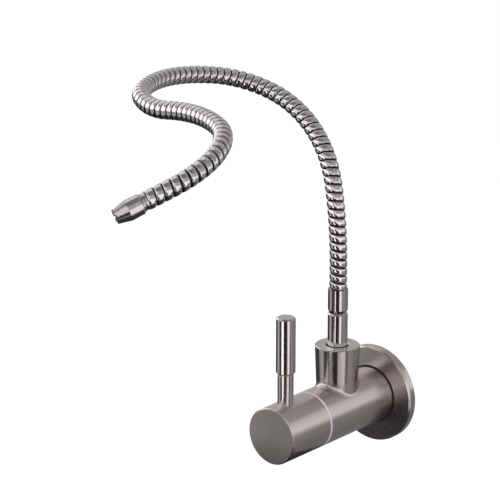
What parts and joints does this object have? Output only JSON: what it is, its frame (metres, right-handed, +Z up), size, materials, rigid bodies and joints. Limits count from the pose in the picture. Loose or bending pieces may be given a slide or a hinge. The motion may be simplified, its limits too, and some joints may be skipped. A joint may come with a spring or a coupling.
{
  "type": "wall-mounted filter tap",
  "caption": "Wall-mounted tap with a round barrel, wall flange, upright rod lever and a ribbed flexible gooseneck spout with a tapered outlet.",
  "frame": {"origin": "on the barrel axis in the plane of the wall, where the threaded inlet enters it", "axes": "+Y into the wall along the inlet, -Y out along the barrel, +Z up along the lever and the spout"},
  "size_m": [0.1351, 0.2579, 0.2374],
  "materials": {
    "satin_steel": "satin brushed round the barrel",
    "turned_steel": "fine lathe-turned rings",
    "fine_satin_steel": "fine satin, nearly polished",
    "armour_steel": "rolled strip, satin bright",
    "thread_steel": "bright machined",
    "screw_steel": "black oxide",
    "cartridge_brass": "machined brass",
    "ceramic": "lapped ceramic",
    "black_rubber": "matte rubber",
    "white_nylon": "milky nylon",
    "black_nylon": "moulded nylon",
    "clear_liner": "milky food-grade plastic"
  },
  "bodies": {
    "wall_body": {"escutcheon": "turned_steel", "escutcheon_seal": "black_rubber", "inlet_nipple": "thread_steel", "valve_body": "satin_steel", "cartridge_housing": "cartridge_brass", "cartridge_base_seal": "black_rubber", "cartridge_gasket": "black_rubber", "fixed_ceramic_disc": "ceramic", "friction_washer": "white_nylon", "spout_bush": "black_nylon", "spout_grub_screw": "screw_steel"},
    "handle": {"handle_hub": "satin_steel", "lever": "fine_satin_steel", "hub_grub_screw": "screw_steel", "cartridge_spindle": "cartridge_brass", "moving_ceramic_disc": "ceramic", "spindle_o_rings": "black_rubber", "spindle_clip": "thread_steel"},
    "spout": {"spout_tail": "fine_satin_steel", "spout_o_rings": "black_rubber", "hose_ferrule": "fine_satin_steel", "base_barb": "cartridge_brass", "water_liner": "clear_liner", "gooseneck_1": "armour_steel"},
    "neck_2": {"gooseneck_2": "armour_steel"},
    "neck_3": {"gooseneck_3": "armour_steel"},
    "neck_4": {"gooseneck_4": "armour_steel"},
    "neck_5": {"gooseneck_5": "armour_steel"},
    "neck_6": {"gooseneck_6": "armour_steel"},
    "neck_7": {"gooseneck_7": "armour_steel"},
    "neck_8": {"gooseneck_8": "armour_steel"},
    "neck_9": {"gooseneck_9": "armour_steel", "nozzle_collar": "fine_satin_steel", "nozzle": "fine_satin_steel", "tip_barb": "cartridge_brass", "nozzle_insert": "black_nylon", "nozzle_seal": "black_rubber"}
  },
  "joints": [
    {"name": "handle_turn", "type": "hinge", "parent": "wall_body", "child": "handle", "pos_m": [0, -0.0883, 0], "axis": [0, -1, 0], "range_deg": [0, 90]},
    {"name": "spout_swivel", "type": "hinge", "parent": "wall_body", "child": "spout", "pos_m": [0, -0.0395, 0.03], "axis": [0, 0, 1], "continuous": true},
    {"name": "neck_bend_1", "type": "hinge", "parent": "spout", "child": "neck_2", "pos_m": [-0.00805, -0.03485, 0.13861], "axis": [0.0345, -0.9772, 0.2095], "range_deg": [-16, 16], "deforming": ["water_liner"]},
    {"name": "neck_bend_2", "type": "hinge", "parent": "neck_2", "child": "neck_3", "pos_m": [-0.02284, -0.03008, 0.16333], "axis": [-0.6916, -0.4743, -0.5446], "range_deg": [-16, 16], "deforming": ["water_liner"]},
    {"name": "neck_bend_3", "type": "hinge", "parent": "neck_3", "child": "neck_4", "pos_m": [-0.05908, -0.03019, 0.18743], "axis": [0.3319, 0.0263, 0.9429], "range_deg": [-16, 16], "deforming": ["water_liner"]},
    {"name": "neck_bend_4", "type": "hinge", "parent": "neck_4", "child": "neck_5", "pos_m": [-0.08719, -0.05275, 0.19795], "axis": [0.8811, -0.4055, -0.2433], "range_deg": [-16, 16], "deforming": ["water_liner"]},
    {"name": "neck_bend_5", "type": "hinge", "parent": "neck_5", "child": "neck_6", "pos_m": [-0.08629, -0.11453, 0.20076], "axis": [0.115, -0.0309, 0.9929], "range_deg": [-16, 16], "deforming": ["water_liner"]},
    {"name": "neck_bend_6", "type": "hinge", "parent": "neck_6", "child": "neck_7", "pos_m": [-0.04278, -0.14121, 0.198], "axis": [-0.0112, -0.8957, -0.4445], "range_deg": [-16, 16], "deforming": ["water_liner"]},
    {"name": "neck_bend_7", "type": "hinge", "parent": "neck_7", "child": "neck_8", "pos_m": [0.00838, -0.15645, 0.19938], "axis": [0.1055, 0.3556, -0.9287], "range_deg": [-16, 16], "deforming": ["water_liner"]},
    {"name": "neck_bend_8", "type": "hinge", "parent": "neck_8", "child": "neck_9", "pos_m": [0.03125, -0.19505, 0.1872], "axis": [-0.9806, 0.1066, -0.1644], "range_deg": [-16, 16], "deforming": ["water_liner"]}
  ]
}
